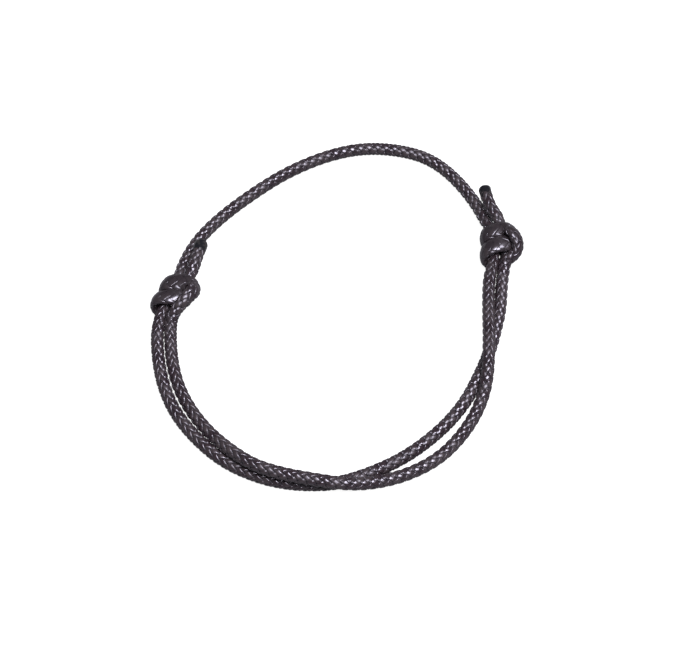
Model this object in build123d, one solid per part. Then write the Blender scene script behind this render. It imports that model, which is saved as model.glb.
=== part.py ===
from build123d import *
from math import cos, pi, radians, sin, tan
import os

# One braided cord makes the whole bracelet. Each of its ends is tied in a double overhand knot
# round the cord that comes from the other end, so the loop grows or shrinks as the knots slide.
# X is across the loop, Y points from the doubled near side to the single far side, and Z is up.

cord_diameter = 2.0
drawn_diameter = 1.5       # the same cord where a knot is pulled tight on it
knot_axis_height = 2.4     # a knot lies on the table, and lifts the cord that runs through it
left_tip = {"length": 1.8, "diameter": 2.3}      # the melted ends are a little thicker than the cord
right_tip = {"length": 1.7, "diameter": 2.1}
tip_rounding = 0.85
arc_share = 0.45           # the part of the shorter run that each corner's arc takes up

# Each knot has its own frame: where its middle is in plan, and how far it leans to the right.
left_knot_place = {"x": -26.7, "y": 1.5, "lean": 22.0}
right_knot_place = {"x": 26.78, "y": 12.2, "lean": 1.0}

# The working end of each knot, in the knot's frame: to the right, along the held cord, and up.
# It climbs beside the knot, rides over the near wrap, makes the far wrap and then the near one,
# turns in under the held cord and runs through both wraps beside it.
left_working_end = [
    (1.3, -4.3, 0.1),
    (1.75, -2.95, 1.35),
    (2.75, -1.1, 2.6),
    (3.3, 1.35, 2.25),
    (1.75, 2.2, 1.9),
    (-1.25, 1.55, 1.65),
    (-2.38, 1.2, 0.72),
    (-2.38, 1.05, -0.72),
    (-1.25, 0.8, -1.65),
    (1.25, 0.4, -1.65),
    (2.36, 0.1, -0.74),
    (2.36, -0.3, 0.72),
    (1.25, -0.9, 1.6),
    (-1.25, -1.65, 1.62),
    (-2.45, -1.95, 0.72),
    (-2.5, -2.2, -0.74),
    (-1.4, -2.55, -1.65),
    (0.2, -2.95, -1.6),
    (1.15, -2.3, -0.8),
    (0.86, -1.1, 0.0),
    (0.8, 1.9, 0.1),
]
right_working_end = [
    (0.75, -4.7, -0.25),
    (1.1, -3.4, 0.2),
    (2.75, -2.6, 0.95),
    (3.2, -1.3, 2.0),
    (2.42, 0.4, 2.66),
    (1.25, 1.95, 2.15),
    (-1.25, 1.55, 1.62),
    (-2.4, 1.3, 0.72),
    (-2.38, 1.1, -0.72),
    (-1.25, 0.75, -1.65),
    (1.25, 0.2, -1.65),
    (2.42, -0.1, -0.74),
    (2.42, -0.3, 0.68),
    (1.25, -0.75, 1.6),
    (-1.25, -1.5, 1.64),
    (-2.42, -1.95, 0.72),
    (-2.5, -2.4, -0.74),
    (-1.35, -2.85, -1.65),
    (0.15, -3.15, -1.64),
    (1.1, -2.35, -0.95),
    (0.86, -1.1, 0.0),
    (0.85, 1.9, 0.12),
]
# The cord that each knot holds runs straight through it, on the left of the returning end.
held_cord = [
    (-0.78, -3.2, 0.0),
    (-0.78, 2.2, 0.0),
]

# The rest of the cord lies on the table, where the middle of the cord is one radius up.
left_tail_route = [
    (-22.95, 10.5, 3.3),
    (-23.4, 8.5, 3.4),
    (-23.85, 6.4, 3.4),
]
inner_strand_route = [
    (-27.15, -6.0, 1.75),
    (-26.75, -10.2, 1.1),
    (-25.68, -14.7, 1.0),
    (-23.6, -19.25, 1.0),
    (-20.68, -23.56, 1.35),
    (-17.1, -27.71, 2.5),
    (-12.99, -31.09, 3.15),
    (-8.37, -32.64, 3.15),
    (-3.69, -33.6, 3.15),
    (0.93, -34.35, 3.05),
    (5.18, -33.39, 1.55),
    (10.51, -31.66, 1.0),
    (15.5, -28.83, 1.0),
    (19.18, -24.87, 1.0),
    (21.82, -20.5, 1.0),
    (23.25, -16.9, 1.5),
    (23.9, -13.9, 2.75),
    (24.15, -10.8, 3.25),
    (24.4, -7.2, 3.2),
    (24.5, -3.0, 2.8),
    (24.65, 1.4, 2.6),
    (24.95, 5.4, 2.5),
]
upper_cord_route = [
    (24.97, 17.5, 1.75),
    (23.08, 22.6, 1.2),
    (19.6, 28.2, 1.0),
    (15.6, 31.9, 1.0),
    (10.6, 33.7, 1.0),
    (4.4, 34.15, 1.0),
    (-2.0, 32.4, 1.0),
    (-8.6, 28.85, 1.0),
    (-14.0, 24.5, 1.0),
    (-18.8, 20.0, 1.0),
    (-22.3, 15.8, 1.1),
    (-24.4, 12.0, 1.4),
    (-25.8, 7.6, 1.9),
]
outer_strand_route = [
    (-29.35, -5.0, 1.92),
    (-28.98, -10.0, 1.1),
    (-27.83, -15.3, 1.0),
    (-25.6, -20.5, 1.0),
    (-22.0, -25.27, 1.0),
    (-17.6, -29.3, 1.0),
    (-12.4, -31.9, 1.0),
    (-8.0, -33.03, 1.0),
    (-4.0, -33.32, 1.0),
    (0.23, -33.03, 1.0),
    (5.52, -31.07, 1.0),
    (10.92, -28.09, 1.0),
    (16.29, -23.39, 1.0),
    (20.19, -18.36, 1.0),
    (22.65, -13.2, 1.0),
    (24.5, -8.6, 1.0),
    (25.7, -4.2, 1.15),
    (26.62, -0.3, 1.5),
    (26.95, 4.0, 1.8),
]
right_tail_route = [
    (26.87, 16.9, 3.68),
    (25.5, 19.4, 3.6),
    (25.05, 22.0, 3.45),
]


def in_knot(place, points):
    lean = radians(place["lean"])
    placed = []
    for across, along, up in points:
        x = place["x"] + across * cos(lean) + along * sin(lean)
        y = place["y"] - across * sin(lean) + along * cos(lean)
        placed.append(Vector(x, y, knot_axis_height + up))
    return placed


def laid(points):
    return [Vector(*point) for point in points]


# The whole cord, in order from the end of the left tail to the end of the right tail.
whole_cord = [
    {"stretch": "left_tail", "diameter": cord_diameter, "points": laid(left_tail_route)},
    {"stretch": "left_knot", "diameter": drawn_diameter,
     "points": in_knot(left_knot_place, reversed(left_working_end))},
    {"stretch": "inner_strand", "diameter": cord_diameter, "points": laid(inner_strand_route)},
    {"stretch": "held_in_right_knot", "diameter": drawn_diameter,
     "points": in_knot(right_knot_place, held_cord)},
    {"stretch": "upper_cord", "diameter": cord_diameter, "points": laid(upper_cord_route)},
    {"stretch": "held_in_left_knot", "diameter": drawn_diameter,
     "points": in_knot(left_knot_place, reversed(held_cord))},
    {"stretch": "outer_strand", "diameter": cord_diameter, "points": laid(outer_strand_route)},
    {"stretch": "right_knot", "diameter": drawn_diameter,
     "points": in_knot(right_knot_place, right_working_end)},
    {"stretch": "right_tail", "diameter": cord_diameter, "points": laid(right_tail_route)},
]


def corner_radius(before, corner, after):
    turn = radians((corner - before).get_angle(after - corner))
    shorter_run = min((corner - before).length, (after - corner).length)
    return arc_share * shorter_run / tan(turn / 2)


def stretch_path(number):
    # A stretch meets its neighbours halfway along the straight run between them.
    points = whole_cord[number]["points"]
    before = whole_cord[number - 1]["points"][-1] if number > 0 else None
    after = whole_cord[number + 1]["points"][0] if number + 1 < len(whole_cord) else None
    around = ([before] if before else []) + points + ([after] if after else [])
    radii = [corner_radius(*around[i - 1:i + 2]) for i in range(1, len(around) - 1)]
    corners = list(around)
    if before:
        corners[0] = (before + points[0]) / 2
    if after:
        corners[-1] = (points[-1] + after) / 2
    return FilletPolyline(*corners, radius=radii), radii


def cord_tube(path, diameter):
    start = Plane(origin=path @ 0, z_dir=path % 0)
    tube = sweep(start * Circle(diameter / 2), path=path)
    expected = pi * (diameter / 2) ** 2 * path.length
    assert abs(tube.volume / expected - 1) < 0.01, "the tube doesn't fill its route"
    return tube


def melted_tip(tip, end, outward):
    face = Plane(origin=end, z_dir=outward)
    bead = extrude(face * Circle(tip["diameter"] / 2), tip["length"])
    rim = bead.edges().filter_by(GeomType.CIRCLE).sort_by(lambda edge: (edge.center() - end).length)[-1]
    return fillet(rim, tip_rounding)


paths = {}
tubes = {}
cord_length = 0
for number, stretch in enumerate(whole_cord):
    name = stretch["stretch"]
    path, radii = stretch_path(number)
    paths[name] = path
    tubes[name] = cord_tube(path, stretch["diameter"])
    cord_length += path.length
    print(f"{name}: {path.length:.1f} mm long, tightest radius {min(radii):.2f} mm")
print(f"whole cord: {cord_length:.0f} mm")

left_end = paths["left_tail"]
right_end = paths["right_tail"]
nodes = {
    "upper_cord": tubes["held_in_right_knot"] + tubes["upper_cord"] + tubes["held_in_left_knot"],
    "inner_strand": tubes["inner_strand"],
    "outer_strand": tubes["outer_strand"],
    "left_knot": tubes["left_knot"],
    "right_knot": tubes["right_knot"],
    "left_tail": tubes["left_tail"],
    "right_tail": tubes["right_tail"],
    "left_tail_tip": melted_tip(left_tip, left_end @ 0, -(left_end % 0)),
    "right_tail_tip": melted_tip(right_tip, right_end @ 1, right_end % 1),
}

os.makedirs("parts", exist_ok=True)
for name, solid in nodes.items():
    export_step(solid, f"parts/{name}.step")
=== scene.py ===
import math

import bpy
import numpy as np
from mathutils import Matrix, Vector, noise


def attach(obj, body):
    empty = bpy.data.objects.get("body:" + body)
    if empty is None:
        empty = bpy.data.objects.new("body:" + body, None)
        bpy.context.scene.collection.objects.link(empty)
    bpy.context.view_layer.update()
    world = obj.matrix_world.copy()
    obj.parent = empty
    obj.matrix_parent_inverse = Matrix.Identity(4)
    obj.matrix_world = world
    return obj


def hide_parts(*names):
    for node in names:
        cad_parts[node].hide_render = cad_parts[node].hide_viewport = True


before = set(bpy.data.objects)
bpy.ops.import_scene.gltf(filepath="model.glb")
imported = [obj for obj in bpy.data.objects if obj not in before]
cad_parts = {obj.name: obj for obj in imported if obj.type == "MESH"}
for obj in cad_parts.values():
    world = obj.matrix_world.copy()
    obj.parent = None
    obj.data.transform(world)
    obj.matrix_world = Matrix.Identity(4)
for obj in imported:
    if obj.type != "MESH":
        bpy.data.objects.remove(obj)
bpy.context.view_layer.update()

scene = bpy.context.scene
mm = 0.001

# The camera is over the near side of the table, looking down across the loop.

cameraSetup = {
    "lens": 113.0,                  # on a 36 mm sensor
    "aim": (-0.3, -1.05, 0.0),      # the point it looks at, in mm
    "distance": 350.0,
    "elevation": 55.0,
    "shift": (0.0059, -0.0132),
}


def placeCamera(setup):
    camera = bpy.data.objects.new("camera", bpy.data.cameras.new("camera"))
    camera.data.lens = setup["lens"]
    camera.data.shift_x, camera.data.shift_y = setup["shift"]
    camera.data.clip_start = 0.01
    tilt = math.radians(setup["elevation"])
    back = Vector((0, -math.cos(tilt), math.sin(tilt))) * setup["distance"]
    camera.location = (Vector(setup["aim"]) + back) * mm
    camera.rotation_euler = (math.pi / 2 - tilt, 0, 0)
    scene.collection.objects.link(camera)
    scene.camera = camera


placeCamera(cameraSetup)
print("camera is placed")

# The cord's line, in mm. The whole bracelet is one cord: left tail, left knot, inner strand,
# through the right knot, upper cord, through the left knot, outer strand, right knot, right tail.

# In a knot: to the right, along the held cord, up, then how thick and how wide the cord is pressed.
leftKnot = {
    "middle": (-26.7, 1.5),
    "lean": 22.0,
    "workingEnd": [
        (1.3, -4.3, 0.1, 1.0, 1.0),
        (1.75, -2.95, 1.35, 0.97, 1.03),
        (2.75, -1.1, 2.6, 0.92, 1.1),
        (3.3, 1.35, 2.25, 0.85, 1.35),
        (1.75, 2.2, 1.9, 0.78, 1.6),
        (-1.25, 1.55, 1.65, 0.74, 1.75),
        (-2.38, 1.2, 0.72, 0.74, 1.75),
        (-2.38, 1.05, -0.72, 0.73, 1.6),
        (-1.25, 0.8, -1.65, 0.73, 1.35),
        (1.2, 0.5, -1.56, 0.64, 1.05),
        (2.24, 0.3, -0.72, 0.62, 0.95),
        (2.3, -0.2, 0.72, 0.68, 1.2),
        (1.25, -0.9, 1.6, 0.73, 1.45),
        (-1.25, -1.65, 1.62, 0.73, 1.5),
        (-2.45, -1.95, 0.72, 0.73, 1.5),
        (-2.5, -2.2, -0.74, 0.73, 1.4),
        (-1.4, -2.55, -1.65, 0.73, 1.3),
        (0.2, -2.95, -1.6, 0.73, 1.1),
        (1.15, -2.3, -0.8, 0.74, 0.85),
        (0.86, -1.1, 0.0, 0.75, 0.75),
        (0.8, 1.9, 0.1, 0.76, 0.76),
    ],
    "held": [(-0.78, -3.2, 0.0, 0.92, 0.92), (-0.78, 2.2, 0.0, 0.78, 0.78)],
}
rightKnot = {
    "middle": (26.78, 12.2),
    "lean": 1.0,
    "workingEnd": [
        (0.75, -4.7, -0.25, 1.0, 1.0),
        (1.1, -3.4, 0.2, 0.98, 1.02),
        (2.75, -2.6, 0.95, 0.93, 1.1),
        (3.2, -1.3, 2.0, 0.88, 1.2),
        (2.42, 0.4, 2.66, 0.82, 1.35),
        (1.25, 1.95, 2.15, 0.77, 1.45),
        (-1.25, 1.55, 1.62, 0.74, 1.55),
        (-2.4, 1.3, 0.72, 0.74, 1.55),
        (-2.38, 1.1, -0.72, 0.73, 1.5),
        (-1.25, 0.75, -1.65, 0.73, 1.4),
        (1.25, 0.2, -1.65, 0.73, 1.3),
        (2.42, -0.1, -0.74, 0.73, 1.3),
        (2.42, -0.3, 0.68, 0.73, 1.4),
        (1.25, -0.75, 1.6, 0.73, 1.5),
        (-1.25, -1.5, 1.64, 0.73, 1.6),
        (-2.42, -1.95, 0.72, 0.73, 1.6),
        (-2.5, -2.4, -0.74, 0.73, 1.5),
        (-1.35, -2.85, -1.65, 0.73, 1.3),
        (0.15, -3.15, -1.64, 0.73, 1.1),
        (1.1, -2.35, -0.95, 0.74, 0.85),
        (0.86, -1.1, 0.0, 0.75, 0.75),
        (0.85, 1.9, 0.12, 0.76, 0.76),
    ],
    "held": [(-0.78, -3.2, 0.0, 0.92, 0.92), (-0.78, 2.2, 0.0, 0.78, 0.78)],
}
knotAxisHeight = 2.4

leftTailRoute = [(-22.95, 10.5, 3.3), (-23.4, 8.5, 3.4), (-23.85, 6.4, 3.4)]
innerStrandRoute = [
    (-27.15, -6.0, 1.75),
    (-26.75, -10.2, 1.1),
    (-25.68, -14.7, 1.0),
    (-23.6, -19.25, 1.0),
    (-20.68, -23.56, 1.35),
    (-17.1, -27.71, 2.5),
    (-12.99, -31.09, 3.15),
    (-8.37, -32.64, 3.15),
    (-3.69, -33.6, 3.15),
    (0.93, -34.35, 3.05),
    (5.18, -33.39, 1.55),
    (10.51, -31.66, 1.0),
    (15.5, -28.83, 1.0),
    (19.18, -24.87, 1.0),
    (21.82, -20.5, 1.0),
    (23.25, -16.9, 1.5),
    (23.9, -13.9, 2.75),
    (24.15, -10.8, 3.25),
    (24.4, -7.2, 3.2),
    (24.5, -3.0, 2.8),
    (24.65, 1.4, 2.6),
    (24.95, 5.4, 2.5),
]
upperCordRoute = [
    (24.97, 17.5, 1.75),
    (23.08, 22.6, 1.2),
    (19.6, 28.2, 1.0),
    (15.6, 31.9, 1.0),
    (10.6, 33.7, 1.0),
    (4.4, 34.15, 1.0),
    (-2.0, 32.4, 1.0),
    (-8.6, 28.85, 1.0),
    (-14.0, 24.5, 1.0),
    (-18.8, 20.0, 1.0),
    (-22.3, 15.8, 1.1),
    (-24.4, 12.0, 1.4),
    (-25.8, 7.6, 1.9),
]
outerStrandRoute = [
    (-29.35, -5.0, 1.92),
    (-28.98, -10.0, 1.1),
    (-27.83, -15.3, 1.0),
    (-25.6, -20.5, 1.0),
    (-22.0, -25.27, 1.0),
    (-17.6, -29.3, 1.0),
    (-12.4, -31.9, 1.0),
    (-8.0, -33.03, 1.0),
    (-4.0, -33.32, 1.0),
    (0.23, -33.03, 1.0),
    (5.52, -31.07, 1.0),
    (10.92, -28.09, 1.0),
    (16.29, -23.39, 1.0),
    (20.19, -18.36, 1.0),
    (22.65, -13.2, 1.0),
    (24.5, -8.6, 1.0),
    (25.7, -4.2, 1.15),
    (26.62, -0.3, 1.5),
    (26.95, 4.0, 1.8),
]
rightTailRoute = [(26.87, 16.9, 3.68), (25.5, 19.4, 3.6), (25.05, 22.0, 3.45)]


def inKnot(knot, points):
    lean = math.radians(knot["lean"])
    placed = []
    for across, along, up, thick, wide in points:
        placed.append((
            knot["middle"][0] + across * math.cos(lean) + along * math.sin(lean),
            knot["middle"][1] - across * math.sin(lean) + along * math.cos(lean),
            knotAxisHeight + up, thick, wide))
    return placed


def onTable(points):
    return [(x, y, z, 1.0, 1.0) for x, y, z in points]


stretches = [
    ("leftTail", onTable(leftTailRoute)),
    ("leftKnot", inKnot(leftKnot, reversed(leftKnot["workingEnd"]))),
    ("innerStrand", onTable(innerStrandRoute)),
    ("heldInRightKnot", inKnot(rightKnot, rightKnot["held"])),
    ("upperCord", onTable(upperCordRoute)),
    ("heldInLeftKnot", inKnot(leftKnot, reversed(leftKnot["held"]))),
    ("outerStrand", onTable(outerStrandRoute)),
    ("rightKnot", inKnot(rightKnot, rightKnot["workingEnd"])),
    ("rightTail", onTable(rightTailRoute)),
]


def smoothLine(name, controls):
    # the points along one smooth spline, and how far along its control points each one is
    curve = bpy.data.curves.new(name, "CURVE")
    curve.dimensions = "3D"
    curve.resolution_u = 40
    spline = curve.splines.new("NURBS")
    spline.points.add(len(controls) - 1)
    for spot, control in zip(spline.points, controls):
        spot.co = (*(value * mm for value in control[:3]), 1.0)
    spline.order_u = 3
    spline.use_endpoint_u = True
    holder = bpy.data.objects.new(name, curve)
    scene.collection.objects.link(holder)
    bpy.context.view_layer.update()
    line = bpy.data.meshes.new_from_object(holder)
    points = np.array([vertex.co[:] for vertex in line.vertices])
    bpy.data.meshes.remove(line)
    bpy.data.objects.remove(holder)
    bpy.data.curves.remove(curve)
    runs = len(controls) - 2
    reach = np.linspace(0, runs, len(points))
    spots = np.array([0.0] + [i + 0.5 for i in range(runs)] + [runs])
    pressed = np.array([control[3:] for control in controls])
    thick = np.interp(reach, spots, pressed[:, 0])
    wide = np.interp(reach, spots, pressed[:, 1])
    return np.column_stack([points, thick, wide])


def joinStretches():
    rows, ends = [], {}
    reached = 0.0
    for number, (name, points) in enumerate(stretches):
        controls = list(points)
        if number > 0:
            before = stretches[number - 1][1][-1]
            controls.insert(0, tuple((a + b) / 2 for a, b in zip(before, points[0])))
        if number + 1 < len(stretches):
            after = stretches[number + 1][1][0]
            controls.append(tuple((a + b) / 2 for a, b in zip(points[-1], after)))
        part = smoothLine(name, controls)
        length = np.linalg.norm(np.diff(part[:, :3], axis=0), axis=1).sum()
        ends[name] = (reached, reached + length)
        reached += length
        rows.append(part if not rows else part[1:])
    return np.concatenate(rows), ends


braid = {
    "radius": 1.06,          # of the whole cord
    "strands": 8,            # half of them turn one way and half the other
    "lead": 5.9,             # along the cord for one turn of a strand
    "strandWidth": 0.98,
    "crownNarrower": 0.24,   # how much narrower a strand is packed where it lies on top
    "crownEase": 0.42,       # how much slower it turns round the cord there
    "strandThickness": 0.3,
    "edgeDrop": 0.15,        # how far a strand's edges lie below its crown
    "weaveDepth": 0.07,      # how far a strand rises and dips
    "flatTop": 2.6,          # how long it stays on top before it dips
    "flatCrown": 0.75,       # how flat each stitch is, against the round of the cord
    "flatReach": 0.45,       # how far round the cord from a crown's middle it is flat
    "fullPress": 0.27,       # how much thinner than 1 the cord is where a knot is tightest
    "drawnFlat": 0.7,        # how much of the weave a tight knot presses out
    "ringsInStitch": 10,
    "ringShift": 0.04,       # of a stitch, so that rings lie closer where a strand dips
    "unevenWidth": {"seed": 200, "every": 1.7, "size": 0.03},
    "unevenHeight": {"seed": 100, "every": 1.1, "size": 0.05},
    "toneSeed": 31,
    "core": {"radius": 0.6, "ringEvery": 0.3, "sides": 10},
}


def evenLine(rows, step):
    along = np.concatenate([[0], np.cumsum(np.linalg.norm(np.diff(rows[:, :3], axis=0), axis=1))])
    count = int(round(along[-1] / step)) + 1
    even = np.linspace(0, along[-1], count)
    return even, np.column_stack([np.interp(even, along, rows[:, i]) for i in range(rows.shape[1])])


def unit(vectors):
    return vectors / np.maximum(np.linalg.norm(vectors, axis=-1, keepdims=True), 1e-12)


def carriedFrame(points):
    # a frame that goes along the line without turning round it
    tangents = unit(np.gradient(points, axis=0))
    side = np.zeros_like(points)
    side[0] = unit(np.cross(tangents[0], (0, 0, 1)))
    for i in range(1, len(points)):
        step = points[i] - points[i - 1]
        mirrored = side[i - 1] - 2 * step * step.dot(side[i - 1]) / step.dot(step)
        heading = tangents[i - 1] - 2 * step * step.dot(tangents[i - 1]) / step.dot(step)
        turn = tangents[i] - heading
        size = turn.dot(turn)
        side[i] = mirrored - (2 * turn * turn.dot(mirrored) / size if size > 1e-20 else 0)
    side = unit(side - tangents * (side * tangents).sum(1, keepdims=True))
    return tangents, side, np.cross(tangents, side)


def outOfKnot(points, tangents, knot):
    # the way out from the knot's axis, square to the cord
    lean = math.radians(knot["lean"])
    middle = np.array([*knot["middle"], knotAxisHeight]) * mm
    axis = np.array([math.sin(lean), math.cos(lean), 0.0])
    away = points - middle
    away = away - np.outer(away @ axis, axis)
    return unit(away - tangents * (away * tangents).sum(1, keepdims=True))


rows, stretchEnds = joinStretches()
along, cordRows = evenLine(rows, 0.05 * mm)
centre = cordRows[:, :3]
heading, sideways, upward = carriedFrame(centre)
nearLeft = (centre[:, 0] < 0)[:, None]
outward = np.where(nearLeft, outOfKnot(centre, heading, leftKnot), outOfKnot(centre, heading, rightKnot))
thickness, breadth = cordRows[:, 3], cordRows[:, 4]
wholeLength = along[-1]
print(f"the cord's line is {wholeLength / mm:.0f} mm long")

# How far the braid is turned round the cord, in degrees, so that its columns lie as they should.
braidTurn = [
    ("leftTail", 0.0, 66.0), ("leftTail", 1.0, 66.0),
    ("innerStrand", 0.0, 64.0), ("innerStrand", 0.1, 58.0), ("innerStrand", 0.25, 80.0),
    ("innerStrand", 0.35, 84.0), ("innerStrand", 0.45, 81.0), ("innerStrand", 0.6, 70.0),
    ("innerStrand", 0.75, 53.0), ("innerStrand", 0.87, 46.0), ("innerStrand", 1.0, 50.0),
    ("upperCord", 0.0, 49.0), ("upperCord", 0.2, 38.0), ("upperCord", 0.38, 30.0),
    ("upperCord", 0.5, 14.0), ("upperCord", 0.8, 15.0), ("upperCord", 1.0, 31.0),
    ("outerStrand", 0.0, 74.0), ("outerStrand", 0.12, 87.0), ("outerStrand", 0.27, 90.0),
    ("outerStrand", 0.4, 95.0), ("outerStrand", 0.55, 87.0), ("outerStrand", 0.8, 81.0),
    ("outerStrand", 0.9, 92.0), ("outerStrand", 1.0, 94.0),
    ("rightTail", 0.0, 42.0), ("rightTail", 1.0, 42.0),
]
turnAt = [stretchEnds[name][0] + share * (stretchEnds[name][1] - stretchEnds[name][0])
          for name, share, _ in braidTurn]
turnBy = [math.radians(angle) for *_, angle in braidTurn]


def onCord(at, across, radius, turned):
    # places points round the cord: at is the distance along it, and turned the angle round it
    at = np.clip(at, 0, wholeLength)
    place = at / (along[1] - along[0])
    low = np.clip(place.astype(int), 0, len(along) - 2)
    share = (place - low)[..., None]

    def between(values):
        values = values if values.ndim > 1 else values[:, None]
        return values[low] * (1 - share) + values[low + 1] * share

    direction = unit(between(sideways)) * np.cos(turned)[..., None]
    direction = direction + unit(between(upward)) * np.sin(turned)[..., None]
    offset = direction * radius[..., None]
    out = unit(between(outward))
    flank = unit(np.cross(unit(between(heading)), out))
    thick, wide = between(thickness), between(breadth)
    offset = offset + (thick - 1) * (offset * out).sum(-1, keepdims=True) * out
    offset = offset + (wide - 1) * (offset * flank).sum(-1, keepdims=True) * flank
    return between(centre) + offset


# One strand's section: across it as a share of its half width, then down from the crown as a share
# of the dome and of the thickness.
strandSection = [
    (-1.0, 1.0, 0.4), (-0.95, 0.85, 0), (-0.82, 0.42, 0), (-0.62, 0.12, 0), (-0.3, 0.0, 0), (0.0, 0.0, 0),
    (0.3, 0.0, 0), (0.62, 0.12, 0), (0.82, 0.42, 0), (0.95, 0.85, 0), (1.0, 1.0, 0.4), (0.55, 0, 1.0),
    (-0.55, 0, 1.0),
]


def slowNoise(uneven, number, at):
    # one strand's slow changes along the cord
    every = uneven["every"] * mm
    dice = np.random.default_rng(uneven["seed"] + number)
    draws = dice.normal(0, uneven["size"], int(wholeLength / every) + 3)
    return np.interp(at, np.arange(len(draws)) * every, draws)


def drawnShare(at):
    # 0 in loose cord, 1 where a knot is tightest
    return np.clip((1 - np.interp(at, along, thickness)) / braid["fullPress"], 0, 1)


def strandPoints(number, start, end):
    # each strand runs over one other, then under one
    half = braid["strands"] // 2
    lead = braid["lead"] * mm
    stitch = lead / half
    way = 1 if number < half else -1
    count = int((end - start) / stitch * braid["ringsInStitch"]) + 2
    step = np.linspace(start / stitch, end / stitch, count)
    at = stitch * (step + braid["ringShift"] * np.sin(4 * math.pi * step))
    at = np.clip(at, start, end)
    at[0], at[-1] = start, end
    phase = way * 2 * math.pi * at / lead + 2 * math.pi / half * (number % half)
    onTop = way * np.cos(half * phase)
    turned = phase - way * braid["crownEase"] / half * np.sin(half * phase)
    loose = 1 - braid["drawnFlat"] * drawnShare(at)
    rise = np.tanh(braid["flatTop"] * onTop) / math.tanh(braid["flatTop"])
    halfWidth = braid["strandWidth"] / 2 * mm * (1 + slowNoise(braid["unevenWidth"], number, at))
    halfWidth = halfWidth * (1 - braid["crownNarrower"] * (rise + 1) / 2)
    halfThick = braid["strandThickness"] / 2 * mm
    depth = braid["weaveDepth"] * mm
    drop = braid["edgeDrop"] * mm * loose
    middle = braid["radius"] * mm - depth - halfThick
    slope = np.arctan(2 * math.pi * middle / lead * (1 - braid["crownEase"] * onTop))[:, None]
    across, fall, below = np.array(strandSection).T
    wide = halfWidth[:, None] * across
    placed = turned[:, None] + wide * np.cos(slope) / (middle + depth)
    column = 2 * math.pi / half                # from one column of crowns to the next
    firstCrown = 0 if way > 0 else column / 2
    offCrown = (placed - firstCrown + column / 2) % column - column / 2
    flat = braid["flatCrown"] * (middle + depth) / 2
    flat = flat * np.minimum(np.abs(offCrown), braid["flatReach"]) ** 2 * (rise > 0)[:, None]
    rise = rise * loose + slowNoise(braid["unevenHeight"], number, at)
    radius = middle + halfThick + depth * rise[:, None] - drop[:, None] * fall - 2 * halfThick * below
    radius = radius + flat * (below == 0) * loose[:, None]
    turnBraid = np.interp(at, turnAt, turnBy)[:, None]
    points = onCord(at[:, None] - way * wide * np.sin(slope), wide, radius, placed + turnBraid)
    return at, points, radius


def corePoints(start, end):
    core = braid["core"]
    count = max(3, int(round((end - start) / (core["ringEvery"] * mm))) + 1)
    at = np.linspace(start, end, count)[:, None] + np.zeros(core["sides"])
    turned = np.linspace(0, 2 * math.pi, core["sides"], endpoint=False) + np.zeros_like(at)
    radius = np.full_like(at, core["radius"] * mm)
    return at[:, 0], onCord(at, 0, radius, turned), radius


def braidedPiece(name, start, end, materials):
    # the strands of a stretch, each one closed at its ends, round a plain core
    points, faces, slots, alongMap, lie, tone, tight = [], [], [], [], [], [], []
    strands = braid["strands"]
    tones = np.random.default_rng(braid["toneSeed"]).uniform(0, 1, strands + 1)
    base = 0
    for number in range(strands + 1):
        if number < strands:
            at, tube, radius = strandPoints(number, start, end)
        else:
            at, tube, radius = corePoints(start, end)
        rings, sides = tube.shape[:2]
        points.append(tube.reshape(-1, 3))
        lie.append(radius.reshape(-1))
        tone.append(np.full(rings * sides, tones[number]))
        tight.append(np.repeat(drawnShare(at), sides))
        ring, side = np.meshgrid(np.arange(rings - 1), np.arange(sides), indexing="ij")
        after = (side + 1) % sides
        quads = np.stack([ring * sides + side, ring * sides + after,
                          (ring + 1) * sides + after, (ring + 1) * sides + side], -1)
        faces.extend((quads.reshape(-1, 4) + base).tolist())
        u = number + (np.stack([side, side + 1, side + 1, side], -1)) / sides
        v = np.stack([at[ring], at[ring], at[ring + 1], at[ring + 1]], -1) / mm
        alongMap.append(np.stack([u, v], -1).reshape(-1, 2))
        faces.append(list(range(base + sides - 1, base - 1, -1)))
        faces.append(list(range(base + (rings - 1) * sides, base + rings * sides)))
        alongMap.append(np.tile([number + 0.5, at[0] / mm], (sides, 1)))
        alongMap.append(np.tile([number + 0.5, at[-1] / mm], (sides, 1)))
        slots.extend([0 if number < strands else 1] * (len(quads.reshape(-1, 4)) + 2))
        base += rings * sides
    mesh = bpy.data.meshes.new(name)
    mesh.from_pydata(np.concatenate(points).tolist(), [], faces)
    mesh.polygons.foreach_set("material_index", slots)
    mesh.polygons.foreach_set("use_smooth", [True] * len(mesh.polygons))
    uv = mesh.uv_layers.new(name="alongStrand")
    uv.data.foreach_set("uv", np.concatenate(alongMap).reshape(-1))
    height = mesh.attributes.new("lie", "FLOAT", "POINT")
    low = (braid["radius"] - 2 * braid["weaveDepth"] - braid["edgeDrop"]) * mm
    height.data.foreach_set("value", (np.concatenate(lie) - low) / (braid["radius"] * mm - low))
    shade = mesh.attributes.new("tone", "FLOAT", "POINT")
    shade.data.foreach_set("value", np.concatenate(tone))
    press = mesh.attributes.new("tight", "FLOAT", "POINT")
    press.data.foreach_set("value", np.concatenate(tight))
    for material in materials:
        mesh.materials.append(material)
    piece = bpy.data.objects.new(name, mesh)
    scene.collection.objects.link(piece)
    print(f"{name} is braided, with {sum(len(face) - 2 for face in faces)} triangles")
    return piece


# Finishes


def newGroup(name, inputs, outputs):
    group = bpy.data.node_groups.new(name, "ShaderNodeTree")
    for label, kind, value in inputs:
        socket = group.interface.new_socket(name=label, in_out="INPUT", socket_type=kind)
        if value is not None:
            socket.default_value = value
    for label, kind in outputs:
        group.interface.new_socket(name=label, in_out="OUTPUT", socket_type=kind)
    return group, group.nodes.new("NodeGroupInput"), group.nodes.new("NodeGroupOutput")


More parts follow.
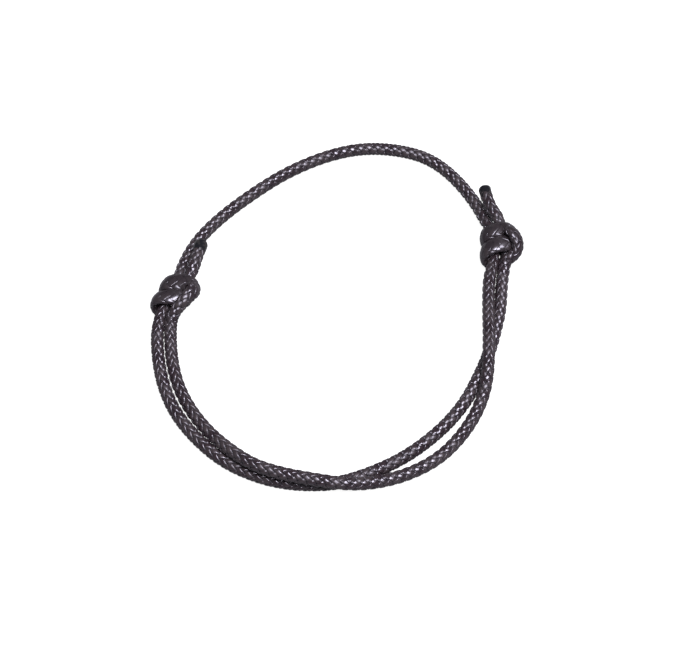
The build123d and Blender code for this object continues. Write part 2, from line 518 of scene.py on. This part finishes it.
def addNode(tree, kind, links=(), **settings):
    # links are (input, socket or value)
    node = tree.nodes.new(kind)
    for key, value in settings.items():
        setattr(node, key, value)
    for label, value in links:
        if isinstance(value, bpy.types.NodeSocket):
            tree.links.new(value, node.inputs[label])
        else:
            node.inputs[label].default_value = value
    return node


def calc(tree, operation, first, second=None, clamp=False):
    links = [(0, first)] + ([(1, second)] if second is not None else [])
    return addNode(tree, "ShaderNodeMath", links, operation=operation, use_clamp=clamp).outputs[0]


def ramp(tree, value, low, high, toLow=0.0, toHigh=1.0):
    links = [("Value", value), ("From Min", low), ("From Max", high), ("To Min", toLow), ("To Max", toHigh)]
    return addNode(tree, "ShaderNodeMapRange", links, interpolation_type="SMOOTHSTEP").outputs["Result"]


def blend(tree, share, first, second, how="MIX"):
    node = addNode(tree, "ShaderNodeMix", data_type="RGBA", blend_type=how)
    for spot, value in zip((0, 6, 7), (share, first, second)):
        if isinstance(value, bpy.types.NodeSocket):
            tree.links.new(value, node.inputs[spot])
        else:
            node.inputs[spot].default_value = value
    return node.outputs[2]


def yarnGrainGroup():
    # fine yarn lines that run along a strand, from a map of how far across and along it is
    group, given, out = newGroup("yarnGrain", [
        ("Vector", "NodeSocketVector", None), ("Lines Across", "NodeSocketFloat", 14.0),
        ("Stretch", "NodeSocketFloat", 1.0), ("Twist", "NodeSocketFloat", 0.2)], [
        ("Height", "NodeSocketFloat"), ("Streak", "NodeSocketFloat")])
    parts = addNode(group, "ShaderNodeSeparateXYZ", [(0, given.outputs["Vector"])])
    turned = calc(group, "MULTIPLY", parts.outputs[1], given.outputs["Twist"])
    shifted = calc(group, "ADD", parts.outputs[0], turned)
    across = calc(group, "MULTIPLY", shifted, given.outputs["Lines Across"])
    lengthwise = calc(group, "MULTIPLY", parts.outputs[1], given.outputs["Stretch"])
    spot = addNode(group, "ShaderNodeCombineXYZ", [(0, across), (1, lengthwise)])
    fine = addNode(group, "ShaderNodeTexNoise", [("Vector", spot.outputs[0]), ("Scale", 1.0), ("Detail", 3.0),
                                                 ("Roughness", 0.6)])
    broad = addNode(group, "ShaderNodeTexNoise", [("Vector", spot.outputs[0]), ("Scale", 0.4),
                                                  ("Detail", 1.0)])
    height = calc(group, "ADD", calc(group, "MULTIPLY", fine.outputs[0], 0.6),
                  calc(group, "MULTIPLY", broad.outputs[0], 0.4))
    group.links.new(height, out.inputs["Height"])
    group.links.new(ramp(group, height, 0.4, 0.62), out.inputs["Streak"])
    return group


def waxHazeGroup():
    # patches where the wax is thin, rubbed or bloomed
    group, given, out = newGroup("waxHaze", [
        ("Scale", "NodeSocketFloat", 300.0), ("Cover", "NodeSocketFloat", 0.5)], [
        ("Haze", "NodeSocketFloat"), ("Specks", "NodeSocketFloat")])
    place = addNode(group, "ShaderNodeTexCoord")
    patches = addNode(group, "ShaderNodeTexNoise", [("Vector", place.outputs["Object"]),
                      ("Scale", given.outputs["Scale"]), ("Detail", 3.0), ("Roughness", 0.55)])
    edge = calc(group, "SUBTRACT", 0.8, calc(group, "MULTIPLY", given.outputs["Cover"], 0.5))
    above = calc(group, "SUBTRACT", patches.outputs[0], edge)
    group.links.new(ramp(group, above, -0.1, 0.1), out.inputs["Haze"])
    dots = addNode(group, "ShaderNodeTexNoise", [("Vector", place.outputs["Object"]), ("Scale", 5200.0),
                                                 ("Detail", 1.0)])
    group.links.new(ramp(group, dots.outputs[0], 0.66, 0.74), out.inputs["Specks"])
    return group


def dipShadeGroup():
    # painted shade: dark where a strand dips under its neighbour
    group, given, out = newGroup("dipShade", [
        ("Lie", "NodeSocketFloat", 0.5), ("Deep", "NodeSocketFloat", 0.3),
        ("High", "NodeSocketFloat", 0.85)], [("Depth", "NodeSocketFloat")])
    lie, deep, high = (given.outputs[name] for name in ("Lie", "Deep", "High"))
    rising = addNode(group, "ShaderNodeMapRange", [("Value", lie), ("From Min", deep), ("From Max", high)],
                     interpolation_type="SMOOTHSTEP")
    group.links.new(calc(group, "SUBTRACT", 1.0, rising.outputs["Result"]), out.inputs["Depth"])
    return group


yarnGrain = yarnGrainGroup()
waxHaze = waxHazeGroup()
dipShade = dipShadeGroup()

waxedLook = {
    "brown": (0.016, 0.009, 0.012, 1),
    "rubbed": (0.034, 0.026, 0.026, 1),
    # painted shade in the dips between strands, and the darker tone of some strands
    "dipShadeAndDarkTone": (0.0035, 0.0015, 0.003, 1),
    "tightKnotSheen": (0.018, 0.016, 0.018, 1),      # painted sheen where a knot is drawn tight
    "roughness": (0.24, 0.6),                # glossy wax, rubbed wax
    "grainDepth": 0.008,
}
meltedLook = {
    "black": (0.006, 0.006, 0.008, 1),
    "soot": (0.02, 0.018, 0.018, 1),
    "roughness": (0.16, 0.4),
    "lumpDepth": 0.05,
}


def newMaterial(name):
    material = bpy.data.materials.new(name)
    material.use_nodes = True
    tree = material.node_tree
    return material, tree, tree.nodes["Principled BSDF"]


def useGroup(tree, group, links):
    node = tree.nodes.new("ShaderNodeGroup")
    node.node_tree = group
    for label, value in links:
        if isinstance(value, bpy.types.NodeSocket):
            tree.links.new(value, node.inputs[label])
        else:
            node.inputs[label].default_value = value
    return node


def waxedStrands(look):
    material, tree, shader = newMaterial("waxedStrands")
    strandMap = addNode(tree, "ShaderNodeUVMap", uv_map="alongStrand")
    lie = addNode(tree, "ShaderNodeAttribute", attribute_name="lie")
    tone = addNode(tree, "ShaderNodeAttribute", attribute_name="tone")
    tight = addNode(tree, "ShaderNodeAttribute", attribute_name="tight")
    grain = useGroup(tree, yarnGrain, [("Vector", strandMap.outputs[0]), ("Lines Across", 16.0),
                                       ("Stretch", 0.9), ("Twist", 0.1)])
    haze = useGroup(tree, waxHaze, [("Scale", 420.0), ("Cover", 0.62)])
    depth = useGroup(tree, dipShade, [("Lie", lie.outputs["Fac"]), ("Deep", 0.35), ("High", 0.8)])
    color = blend(tree, calc(tree, "MULTIPLY", haze.outputs["Haze"], 0.7), look["brown"], look["rubbed"])
    # painted sheen, lighter and bluer, where a knot is drawn tight
    color = blend(tree, calc(tree, "MULTIPLY", tight.outputs["Fac"], 0.6), color, look["tightKnotSheen"])
    color = blend(tree, calc(tree, "MULTIPLY", grain.outputs["Streak"], 0.35), color, look["rubbed"])
    color = blend(tree, calc(tree, "MULTIPLY", tone.outputs["Fac"], 0.35), color, look["dipShadeAndDarkTone"])
    # painted shade where a strand dips under its neighbour
    color = blend(tree, calc(tree, "MULTIPLY", depth.outputs["Depth"], 0.9), color, look["dipShadeAndDarkTone"])
    tree.links.new(color, shader.inputs["Base Color"])
    dull = calc(tree, "ADD", calc(tree, "MULTIPLY", haze.outputs["Haze"], 0.5),
                calc(tree, "MULTIPLY", depth.outputs["Depth"], 0.8), clamp=True)
    dull = calc(tree, "SUBTRACT", dull, calc(tree, "MULTIPLY", tight.outputs["Fac"], 0.25), clamp=True)
    tree.links.new(ramp(tree, dull, 0.0, 1.0, *look["roughness"]), shader.inputs["Roughness"])
    bump = addNode(tree, "ShaderNodeBump", [("Strength", 0.7), ("Distance", look["grainDepth"] * mm),
                                            ("Height", grain.outputs["Height"])])
    tree.links.new(bump.outputs[0], shader.inputs["Normal"])
    shader.inputs["Specular IOR Level"].default_value = 0.8
    shader.inputs["Specular Tint"].default_value = (0.93, 0.9, 1.0, 1)
    return material


def cordCore():
    material, tree, shader = newMaterial("cordCore")
    strandMap = addNode(tree, "ShaderNodeUVMap", uv_map="alongStrand")
    grain = useGroup(tree, yarnGrain, [("Vector", strandMap.outputs[0]), ("Lines Across", 30.0),
                                       ("Stretch", 0.8), ("Twist", 0.0)])
    color = blend(tree, grain.outputs["Streak"], (0.003, 0.002, 0.003, 1), (0.009, 0.005, 0.007, 1))
    tree.links.new(color, shader.inputs["Base Color"])
    tree.links.new(ramp(tree, grain.outputs["Streak"], 0.0, 1.0, 0.5, 0.7), shader.inputs["Roughness"])
    return material


def meltedPlastic(look):
    material, tree, shader = newMaterial("meltedTip")
    haze = useGroup(tree, waxHaze, [("Scale", 900.0), ("Cover", 0.5)])
    color = blend(tree, haze.outputs["Haze"], look["black"], look["soot"])
    tree.links.new(color, shader.inputs["Base Color"])
    specks = calc(tree, "MULTIPLY", haze.outputs["Specks"], 0.5)
    dull = calc(tree, "ADD", haze.outputs["Haze"], specks, clamp=True)
    tree.links.new(ramp(tree, dull, 0.0, 1.0, *look["roughness"]), shader.inputs["Roughness"])
    place = addNode(tree, "ShaderNodeTexCoord")
    lumps = addNode(tree, "ShaderNodeTexNoise", [("Vector", place.outputs["Object"]), ("Scale", 1500.0),
                                                 ("Detail", 2.0)])
    bump = addNode(tree, "ShaderNodeBump", [("Strength", 0.5), ("Distance", look["lumpDepth"] * mm),
                                            ("Height", lumps.outputs[0])])
    tree.links.new(bump.outputs[0], shader.inputs["Normal"])
    return material


def paleFloor():
    material, tree, shader = newMaterial("paleFloor")
    shader.inputs["Base Color"].default_value = (0.2, 0.2, 0.2, 1)
    shader.inputs["Roughness"].default_value = 0.9
    shader.inputs["Specular IOR Level"].default_value = 0.0
    rays = addNode(tree, "ShaderNodeLightPath")      # bright to the camera, dimmer to the cord
    tree.links.new(rays.outputs["Is Camera Ray"], shader.inputs["Emission Color"])
    shader.inputs["Emission Strength"].default_value = 0.95
    return material


strandFinish = waxedStrands(waxedLook)
coreFinish = cordCore()
tipFinish = meltedPlastic(meltedLook)
floorFinish = paleFloor()
print("finishes are mixed")

# The pieces of cord


def pathBetween(start, end):
    count = max(8, int((end - start) / (0.5 * mm)))
    at = np.linspace(start, end, count)
    return [tuple(np.interp(distance, along, centre[:, i]) for i in range(3)) for distance in at]


def makeRun(name, first, last, nodes):
    start, end = stretchEnds[first][0], stretchEnds[last][1]
    piece = braidedPiece(name, start, end, [strandFinish, coreFinish])
    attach(piece, "root")
    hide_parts(*nodes)
    return piece, pathBetween(start, end), end - start


beadShape = {
    "straightShare": 0.42,   # of the rings, along the bead's side; the rest make its round end
    "roundEnd": 0.31,        # height of the round end, as a share of the width
    "inCord": 0.5,           # mm that the bead reaches back over the cord
    "mouth": 0.93,           # how wide it starts, against its full width
    "fullness": 0.8,         # below 1 the round end is fuller than an ellipse
    "rings": 36,
    "sides": 48,
}


def meltedTip(name, atStart, length, width, lumps, seed):
    # a bead of melted cord over the cut end
    where = 0 if atStart else len(centre) - 1
    out = heading[where] * (-1 if atStart else 1)
    end = centre[where]
    side, up = sideways[where], upward[where]
    rings, sides = beadShape["rings"], beadShape["sides"]
    straight, inCord, mouth = beadShape["straightShare"], beadShape["inCord"], beadShape["mouth"]
    roundEnd = width * beadShape["roundEnd"]
    points, faces = [], []
    for i in range(rings + 1):
        share = i / rings
        if share < straight:
            rise = -inCord + share / straight * (length - roundEnd + inCord)
            radius = width / 2 * (mouth + (1 - mouth) * math.sin(share / straight * math.pi / 2))
        else:
            bend = (share - straight) / (1 - straight) * math.pi / 2
            rise = length - roundEnd + roundEnd * math.sin(bend)
            radius = width / 2 * max(math.cos(bend), 0.0) ** beadShape["fullness"]
        for j in range(sides):
            angle = 2 * math.pi * j / sides
            local = Vector((math.cos(angle) * radius, math.sin(angle) * radius, rise))
            lump = noise.noise(local * 1.3 + Vector((seed, 0, 0))) * lumps
            lump += noise.noise(local * 3.4 + Vector((0, seed, 0))) * lumps * 0.35
            swell = 1 + lump * (0.3 + 0.7 * min(1, share / 0.3))
            spot = end + (side * local.x * swell + up * local.y * swell + out * rise * (1 + lump * 0.4)) * mm
            points.append(tuple(spot))
            if i == rings:
                break
    for i in range(rings - 1):
        for j in range(sides):
            k = (j + 1) % sides
            faces.append((i * sides + j, i * sides + k, (i + 1) * sides + k, (i + 1) * sides + j))
    top = rings * sides
    for j in range(sides):
        faces.append(((rings - 1) * sides + j, (rings - 1) * sides + (j + 1) % sides, top))
    faces.append(tuple(range(sides - 1, -1, -1)))
    mesh = bpy.data.meshes.new(name)
    mesh.from_pydata(points, [], faces)
    mesh.polygons.foreach_set("use_smooth", [True] * (len(faces) - 1) + [False])
    mesh.materials.append(tipFinish)
    mesh.validate()
    piece = bpy.data.objects.new(name, mesh)
    scene.collection.objects.link(piece)
    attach(piece, "root")
    return piece


upper, upperPath, upperLength = makeRun("upperCord", "heldInRightKnot", "heldInLeftKnot", ["upper_cord"])
inner, innerPath, innerLength = makeRun("innerStrand", "innerStrand", "innerStrand", ["inner_strand"])
outer, outerPath, outerLength = makeRun("outerStrand", "outerStrand", "outerStrand", ["outer_strand"])

leftTip = meltedTip("leftTailTip", True, 1.8, 2.3, 0.05, 4.0)
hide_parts("left_tail_tip")
rightTip = meltedTip("rightTailTip", False, 1.7, 2.1, 0.06, 9.0)
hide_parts("right_tail_tip")

left, leftPath, leftLength = makeRun("leftKnot", "leftTail", "leftKnot", ["left_knot", "left_tail"])
leftPath.reverse()
right, rightPath, rightLength = makeRun("rightKnot", "rightKnot", "rightTail", ["right_knot", "right_tail"])
print("the cords are laid")

# Table and light


def makeFloor():
    mesh = bpy.data.meshes.new("floor")
    reach = 3.0
    mesh.from_pydata([(-reach, -reach, 0), (reach, -reach, 0), (reach, reach, 0), (-reach, reach, 0)], [],
                     [(0, 1, 2, 3)])
    mesh.materials.append(floorFinish)
    floor = bpy.data.objects.new("floor", mesh)
    scene.collection.objects.link(floor)


def softBox(name, place, aim, size, watts, color):
    light = bpy.data.lights.new(name, "AREA")
    light.shape = "RECTANGLE"
    light.size, light.size_y = size
    light.energy = watts
    light.color = color
    lamp = bpy.data.objects.new(name, light)
    lamp.location = place
    lamp.rotation_euler = (Vector(aim) - Vector(place)).to_track_quat("-Z", "Y").to_euler()
    scene.collection.objects.link(lamp)


def fillRoom(color, strength):
    room = bpy.data.worlds.new("room")
    room.use_nodes = True
    room.node_tree.nodes["Background"].inputs["Color"].default_value = color
    room.node_tree.nodes["Background"].inputs["Strength"].default_value = strength
    scene.world = room


mainLamp = {
    "place": (0.2, -0.18, 0.85),     # above the loop, a little to the right and to the front
    "aim": (0, 0, 0),
    "size": (0.52, 0.52),
    "watts": 19,
    "color": (0.94, 0.93, 1.0),
}
roomLight = {"color": (0.93, 0.95, 1.0, 1), "strength": 0.14}

makeFloor()
softBox("overhead", **mainLamp)
fillRoom(**roomLight)
scene.view_settings.view_transform = "Standard"
print("table and light are set")
